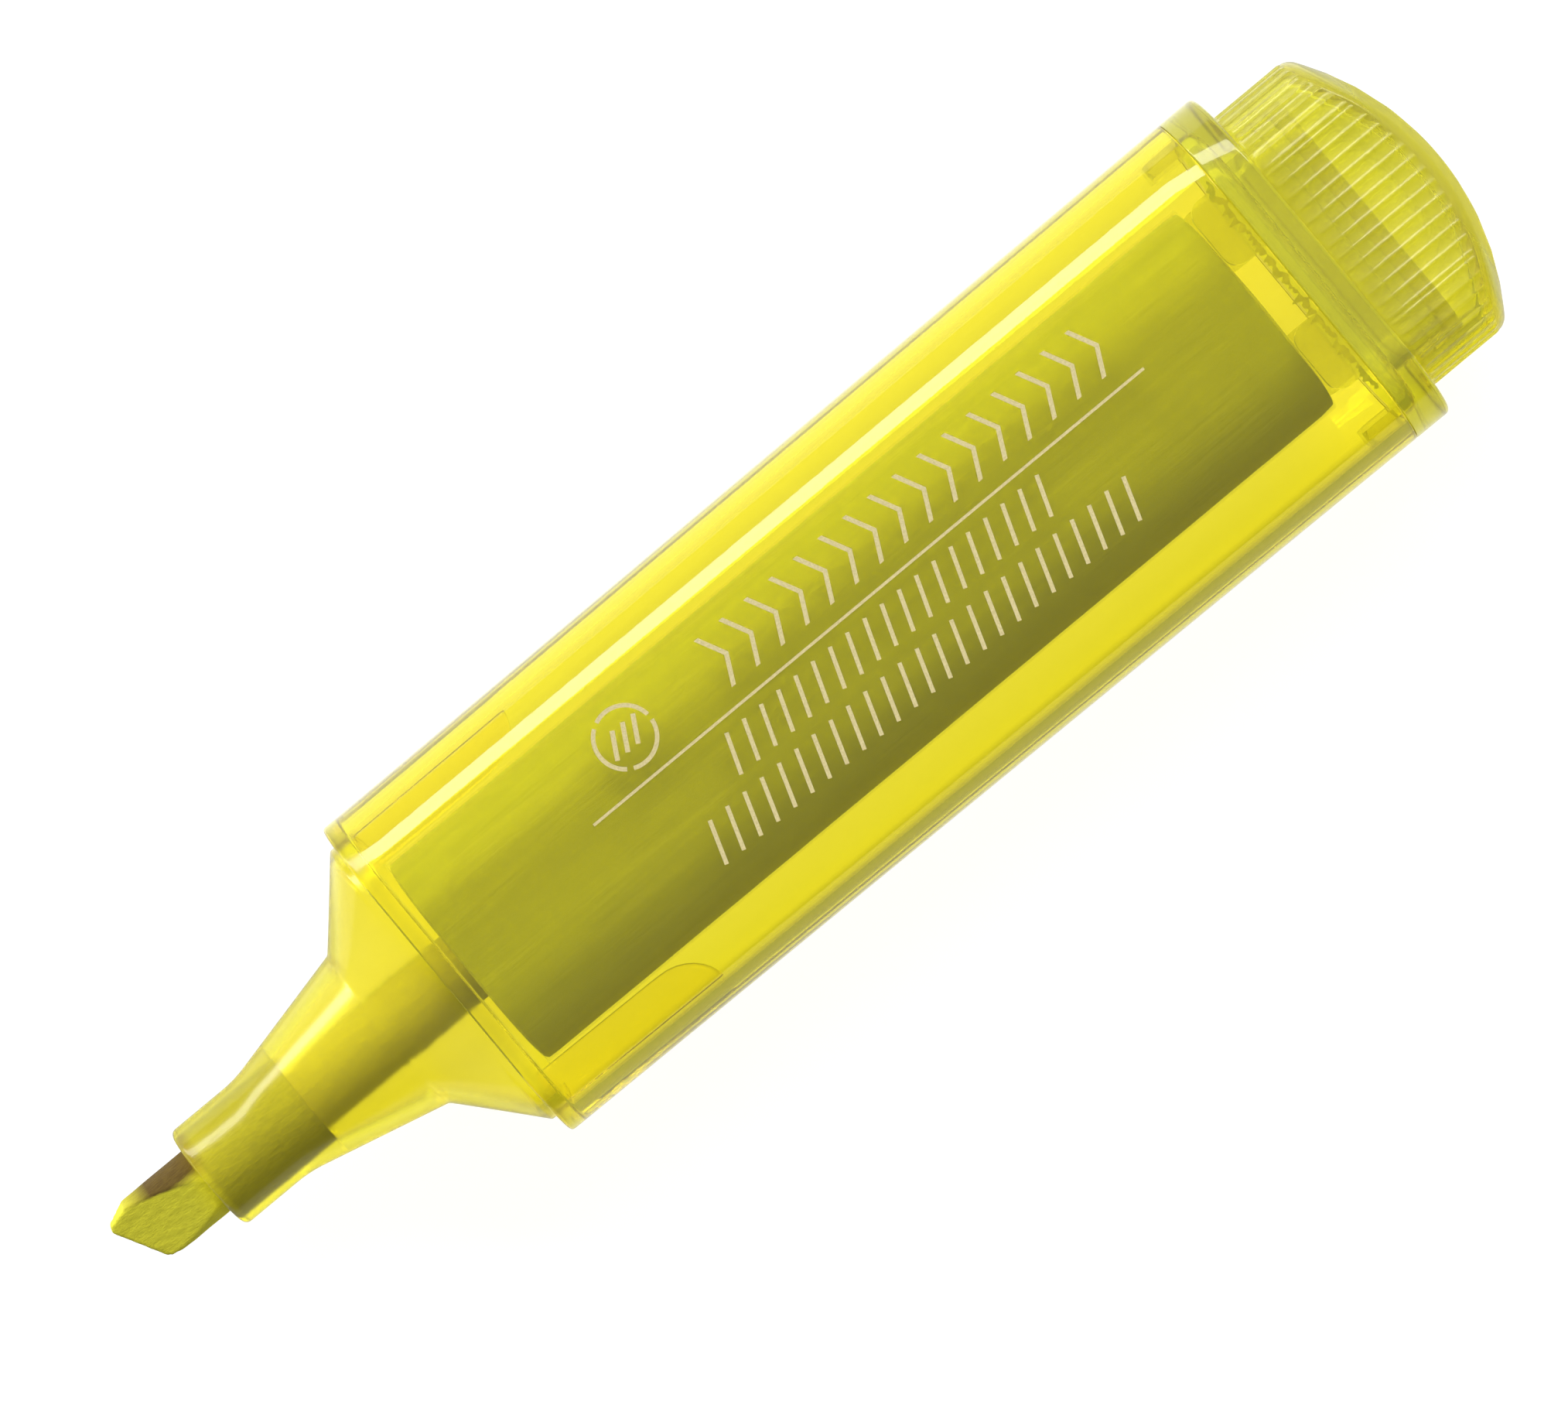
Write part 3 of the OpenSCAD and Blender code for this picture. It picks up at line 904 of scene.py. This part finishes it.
def make_floor():
    """White floor just below the pen. The camera sees it even, and rays from the pen see it uneven."""
    turns = ((-1, -1), (1, -1), (1, 1), (-1, 1))
    floor = piece("floor", [(x * FLOOR_SIZE, y * FLOOR_SIZE, 0) for x, y in turns], [(0, 1, 2, 3)])
    floor.location.z = -FLOOR_GAP * MM
    n = Nodes("pale_floor")
    grain = n.noise((0.02, 0.02, 0.02))
    n.set(Base_Color=n.ramp(grain, [(0.3, (0.13, 0.13, 0.13)), (0.7, (0.15, 0.15, 0.15))]), Roughness=0.9)
    where = n.add("SeparateXYZ", {"Vector": n.place((1, 1, 1))}).outputs["Y"]
    across = n.rise(where, -FLOOR_HALF, FLOOR_HALF)
    mirrored, through = (
        n.ramp(across, [((y + FLOOR_HALF) / (2 * FLOOR_HALF), (light,) * 3) for y, light in lights])
        for lights in (FLOOR_MIRRORED, FLOOR_THROUGH)
    )
    path = n.add("LightPath").outputs
    lit = n.blend(path["Is Transmission Ray"], mirrored, through)
    seen = (FLOOR_SEEN,) * 3 + (1,)
    n.set(Emission_Color=n.blend(path["Is Camera Ray"], lit, seen), Emission_Strength=1.0)
    floor.data.materials.append(n.material)


# Brightness of the room and of its backdrop. Each has a direction, the two heights along it between which
# the brightness changes, and the brightness below and above them
ROOM = ((0, 0.8, 0.6), -0.6, 1.0, 0.12, 0.3)
BACKDROP = ((0, 1, 0), -0.6, 0.3, 0.4, 1.0)


def make_sky():
    """A grey room, lighter towards +Y. The camera and the clear plastic see a white backdrop instead."""
    world = bpy.data.worlds.new("room")
    bpy.context.scene.world = world
    world.use_nodes = True
    tree = world.node_tree
    add = tree.nodes.new
    where, path, through, mix = (add("ShaderNode" + k) for k in ("TexCoord", "LightPath", "Math", "Mix"))
    through.operation = "MAXIMUM"
    tree.links.new(path.outputs["Is Camera Ray"], through.inputs[0])
    tree.links.new(path.outputs["Is Transmission Ray"], through.inputs[1])
    tree.links.new(through.outputs[0], mix.inputs["Factor"])
    for socket, (direction, *values) in (("A", ROOM), ("B", BACKDROP)):
        part, span = add("ShaderNodeVectorMath"), add("ShaderNodeMapRange")
        part.operation, part.inputs[1].default_value = "DOT_PRODUCT", direction
        span.interpolation_type = "SMOOTHSTEP"
        for key, value in zip(("From Min", "From Max", "To Min", "To Max"), values):
            span.inputs[key].default_value = value
        tree.links.new(where.outputs["Generated"], part.inputs[0])
        tree.links.new(part.outputs["Value"], span.inputs["Value"])
        tree.links.new(span.outputs["Result"], mix.inputs[socket])
    tree.links.new(mix.outputs["Result"], tree.nodes["Background"].inputs["Strength"])
    world.cycles.sampling_method = "NONE"
    tree.nodes["Background"].inputs["Color"].default_value = (1, 1, 1, 1)


def make_lamp(name, elevation, roll, width, length, power, distance):
    """Long soft box on the +Y side, facing the pen, rolled so that its -X end is lower.
    The elevation and the roll are in degrees, the sizes and the distance in metres."""
    data = bpy.data.lights.new(name, "AREA")
    data.shape, data.size, data.size_y, data.energy = "RECTANGLE", length, width, power
    lamp = bpy.data.objects.new(name, data)
    a = math.radians(elevation)
    facing = Matrix.Rotation(a - math.pi / 2, 4, "X") @ Matrix.Rotation(math.radians(-roll), 4, "Z")
    place = Matrix.Translation((0, distance * math.cos(a), distance * math.sin(a)))
    lamp.matrix_world = place @ facing
    bpy.context.collection.objects.link(lamp)


# The camera looks straight down from this height above the pen's axis, and is turned about Z
CAMERA_HEIGHT = 560
CAMERA_LENS = 189.1
CAMERA_TURN = -39.73
CAMERA_Y = -0.19


def make_camera():
    data = bpy.data.cameras.new("camera")
    data.lens, data.sensor_width = CAMERA_LENS, 36
    data.clip_start, data.clip_end = 0.01, 10
    camera = bpy.data.objects.new("camera", data)
    camera.location = Vector((0.0, CAMERA_Y, CAMERA_HEIGHT + MID_Z)) * MM
    camera.rotation_euler = (0, 0, math.radians(CAMERA_TURN))
    bpy.context.collection.objects.link(camera)
    bpy.context.scene.camera = camera


def own(obj, material, body_name, node):
    """Gives a piece its material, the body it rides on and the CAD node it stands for."""
    obj.data.materials.clear()
    obj.data.materials.append(material)
    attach(obj, body_name)
    if node:
        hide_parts(node)


# Tints of the clear mouldings, at the low and the high places of their flow noise
PALE = [(0.3, (0.93, 0.875, 0.72)), (0.7, (0.95, 0.895, 0.8))]
DEEP = [(0.3, (0.72, 0.73, 0.43)), (0.7, (0.77, 0.78, 0.5))]
RIDGED = [(0.3, (0.72, 0.71, 0.38)), (0.7, (0.78, 0.77, 0.46))]

# Where the nose and the knob's dome are frosted, and by how much
NOSE_FROST = (FRONT_X + 1.8, FRONT_X + 0.6, 0.17)
DOME_FROST = (TAIL_X - 2.6, TAIL_X - 1.8, 0.4)

# The clear mouldings lie one in another, so light passes many faces
BOUNCES = 24

# Ink in the fibre bundle, drawn darker with painted shade for the clear barrel round it, and ink that has
# dried in the seam
SHADED_WET_INK = [(0.25, (0.145, 0.167, 0.02)), (0.75, (0.22, 0.248, 0.032))]
DRY_INK = [(0.25, (0.2, 0.2, 0.02)), (0.75, (0.3, 0.3, 0.03))]


def build():
    """Makes every piece, the stage, the lamp and the camera."""
    yellow = clear_plastic("clear_yellow", PALE, 1.35, NOSE_FROST)
    green = clear_plastic("clear_green_yellow", DEEP, 1.28, clear=0.93, coat=(0.3, 0.04), rough=(0.1, 0.14))
    ridged = clear_plastic(
        "clear_knob_yellow", RIDGED, 1.28, DOME_FROST, clear=0.9, coat=(0, 0.03), rough=(0.12, 0.16),
    )
    # Painted shade: the fibre's colour is drawn darker for the shade it lies in inside the clear barrel
    core = felt("ink_fibre_shaded", SHADED_WET_INK, (0.15, 6, 6), 0.018, 0.6)
    dried = felt("dried_ink", DRY_INK, (2, 2, 2), 0.02, 0.7)
    own(make_barrel(), yellow, "barrel", "barrel")
    own(make_closure(), green, "closure", "rear_closure")
    own(make_knob(), ridged, "closure", "end_knob")
    own(make_nib(), nib_felt("ink_felt"), "nib", "nib")
    own(make_core(), core, "reservoir", "reservoir_core")
    own(make_wrap(), film("ink_film"), "reservoir", "reservoir_wrap")
    own(make_smear(), dried, "barrel", None)
    own(make_print(), foil("gold_foil"), "barrel", None)
    make_floor()
    make_sky()
    make_lamp("strip", elevation=38, roll=35, width=0.5, length=5.4, power=103.0, distance=2.0)
    make_camera()
    bpy.context.scene.view_settings.view_transform = "Standard"
    cycles = bpy.context.scene.cycles
    cycles.max_bounces = cycles.transmission_bounces = cycles.glossy_bounces = BOUNCES


build()
